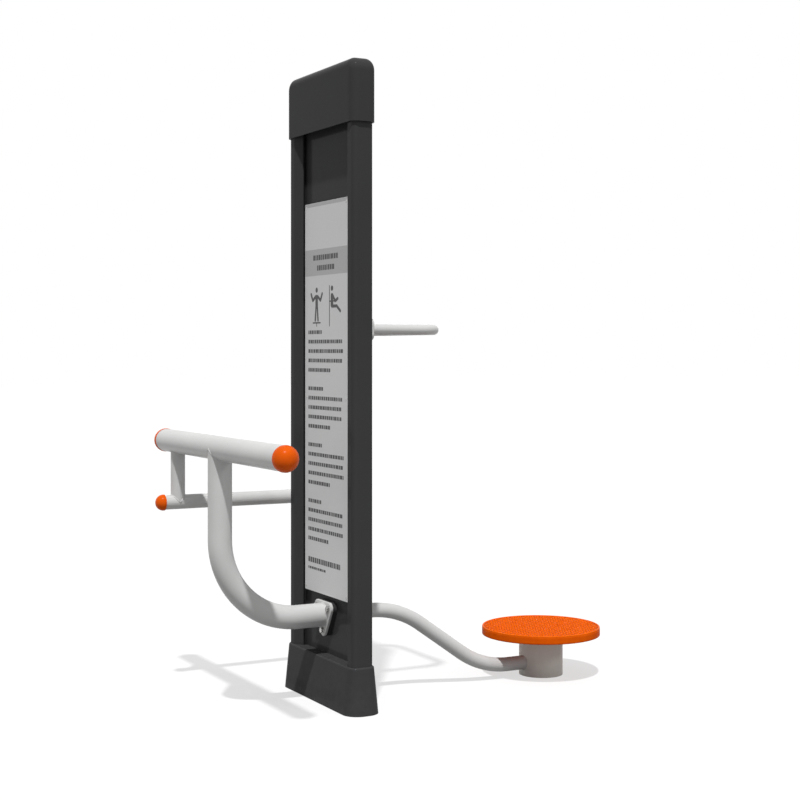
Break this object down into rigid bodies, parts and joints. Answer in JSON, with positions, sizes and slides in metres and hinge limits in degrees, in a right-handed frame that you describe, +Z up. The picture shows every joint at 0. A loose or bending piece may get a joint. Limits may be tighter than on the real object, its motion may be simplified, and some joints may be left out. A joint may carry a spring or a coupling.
{
  "type": "outdoor waist twister combo",
  "caption": "Outdoor exercise post with a spinning foot disc on a low column, a rear hand grip, front leg bars and an information panel.",
  "frame": {"origin": "on the ground under the middle of the post, in the underside of its foot plate", "axes": "+Z up, -Y towards the information side and the leg bars, +Y towards the foot disc, +X to the side without the low bar"},
  "size_m": [1.09, 1.478, 2.04],
  "materials": {
    "charcoal_coat": "satin charcoal powder coat",
    "grey_coat": "satin light grey powder coat",
    "column_coat": "satin warm grey powder coat",
    "orange_plastic": "glossy orange moulding",
    "sign_print": "light grey printed plate",
    "zinc_steel": "zinc-plated steel",
    "bearing_steel": "ground bearing steel",
    "board": "dark backing board"
  },
  "bodies": {
    "frame": {"rail_right": "charcoal_coat", "rail_left": "charcoal_coat", "infill_panel": "charcoal_coat", "foot_plate": "zinc_steel", "skirt": "charcoal_coat", "cap": "charcoal_coat", "cap_screws": "zinc_steel", "sign_backing": "board", "sign_plate": "sign_print", "sign_screws": "zinc_steel", "front_mount": "charcoal_coat", "rear_mount": "charcoal_coat", "front_flange": "grey_coat", "rear_flange": "grey_coat", "flange_bolts": "zinc_steel", "flange_nuts": "zinc_steel", "front_arm": "grey_coat", "leg_bar": "grey_coat", "leg_ball_right": "orange_plastic", "leg_ball_left": "orange_plastic", "side_riser": "grey_coat", "side_bar": "grey_coat", "side_ball_front": "orange_plastic", "side_ball_rear": "orange_plastic", "rear_arm": "grey_coat", "column": "column_coat", "column_foot": "zinc_steel", "column_top": "zinc_steel", "bearing_housing": "zinc_steel", "bearing_upper_outer": "bearing_steel", "bearing_lower_outer": "bearing_steel", "grip_bar": "grey_coat", "grip_plate_right": "charcoal_coat", "grip_plate_left": "charcoal_coat", "grip_screws": "zinc_steel"},
    "turntable": {"foot_disc": "orange_plastic", "spindle": "zinc_steel", "spindle_sleeve": "zinc_steel", "spindle_nut": "zinc_steel", "disc_screws": "zinc_steel", "bearing_upper_inner": "bearing_steel", "bearing_lower_inner": "bearing_steel"},
    "ball_sets": {"bearing_upper_balls": "bearing_steel", "bearing_lower_balls": "bearing_steel"}
  },
  "joints": [
    {"name": "disc_spin", "type": "hinge", "parent": "frame", "child": "turntable", "pos_m": [0, 0.815, 0.1], "axis": [0, 0, 1], "continuous": true},
    {"name": "ball_orbit", "type": "hinge", "parent": "frame", "child": "ball_sets", "pos_m": [0, 0.815, 0.1], "axis": [0, 0, 1], "continuous": true}
  ],
  "couplings": [
    {"joint": "ball_orbit", "follows": "disc_spin", "ratio": 0.3967}
  ]
}
